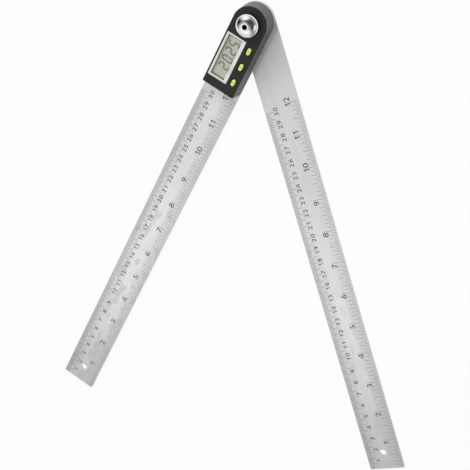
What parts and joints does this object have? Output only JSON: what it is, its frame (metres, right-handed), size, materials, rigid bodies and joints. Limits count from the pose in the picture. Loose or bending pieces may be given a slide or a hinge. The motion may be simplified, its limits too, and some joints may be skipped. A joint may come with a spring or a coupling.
{
  "type": "digital angle finder with ruler arms",
  "caption": "Digital angle finder: steel ruler arms on one pivot, display head with keys and a chrome lock knob.",
  "frame": {"origin": "on the pivot axis, at the back face of the swing ruler, which the tool rests on", "axes": "+Z out of the display, along the pivot axis; -Y along the base ruler to its free end; the swing ruler lies 45 degrees from it towards +X at rest"},
  "size_m": [0.2836, 0.3812, 0.0238],
  "materials": {
    "ruler_steel": "satin stainless steel with fine lengthwise grain",
    "housing_plastic": "fine textured black moulding",
    "cover_plastic": "fine textured black moulding",
    "screw_steel": "zinc plated steel",
    "bezel_plastic": "smooth pale grey moulding",
    "window_clear": "clear acrylic",
    "lcd_glass": "grey-green reflective display",
    "connector_rubber": "layered elastomer",
    "board_laminate": "green solder mask",
    "chip_epoxy": "black potting",
    "switch_plastic": "moulded switch",
    "rotor_laminate": "coated glass laminate",
    "bush_bronze": "turned bronze",
    "shaft_steel": "turned steel",
    "washer_nylon": "white nylon sheet",
    "spring_steel": "hardened spring steel",
    "cell_steel": "nickel plated can",
    "contact_metal": "plated spring strip",
    "knob_chrome": "polished chrome plate",
    "button_lime": "smooth yellow-green rubber"
  },
  "bodies": {
    "base": {"base_ruler": "ruler_steel", "housing_cover": "housing_plastic", "housing_screws": "screw_steel", "display_bezel": "bezel_plastic", "display_window": "window_clear", "lcd_panel": "lcd_glass", "zebra_strips": "connector_rubber", "circuit_board": "board_laminate", "board_screws": "screw_steel", "controller_chip": "chip_epoxy", "key_switches": "switch_plastic", "pivot_bush": "bush_bronze", "spring_washer": "spring_steel", "coin_cell": "cell_steel", "battery_holder": "housing_plastic", "cell_contact_minus": "contact_metal", "cell_contact_plus": "contact_metal"},
    "swing_arm": {"swing_ruler": "ruler_steel", "pivot_shaft": "shaft_steel", "friction_washer": "washer_nylon", "retaining_clip": "spring_steel", "encoder_rotor": "rotor_laminate"},
    "pressure_washer": {"pressure_washer": "shaft_steel"},
    "lock_knob": {"lock_knob": "knob_chrome"},
    "battery_cover": {"battery_cover": "cover_plastic"},
    "top_button": {"top_button": "button_lime"},
    "middle_button": {"middle_button": "button_lime"},
    "bottom_button": {"bottom_button": "button_lime"}
  },
  "joints": [
    {"name": "arm_swing", "type": "hinge", "parent": "base", "child": "swing_arm", "pos_m": [0, 0, 0.0006], "axis": [0, 0, 1], "continuous": true},
    {"name": "washer_lift", "type": "slide", "parent": "swing_arm", "child": "pressure_washer", "axis": [0, 0, 1], "range_m": [0, 0.0004]},
    {"name": "knob_turn", "type": "hinge", "parent": "pressure_washer", "child": "lock_knob", "pos_m": [0, 0, 0.0157], "axis": [0, 0, 1], "range_deg": [0, 180]},
    {"name": "cover_twist", "type": "hinge", "parent": "base", "child": "battery_cover", "pos_m": [0, -0.0385, 0.0015], "axis": [0, 0, 1], "range_deg": [0, 45]},
    {"name": "top_button_press", "type": "slide", "parent": "base", "child": "top_button", "axis": [0, 0, -1], "range_m": [0, 0.0004], "stiffness_N_per_m": 300},
    {"name": "middle_button_press", "type": "slide", "parent": "base", "child": "middle_button", "axis": [0, 0, -1], "range_m": [0, 0.0004], "stiffness_N_per_m": 300},
    {"name": "bottom_button_press", "type": "slide", "parent": "base", "child": "bottom_button", "axis": [0, 0, -1], "range_m": [0, 0.0004], "stiffness_N_per_m": 300}
  ],
  "couplings": [
    {"joint": "knob_turn", "follows": "washer_lift", "rad_per_m": 7850}
  ]
}
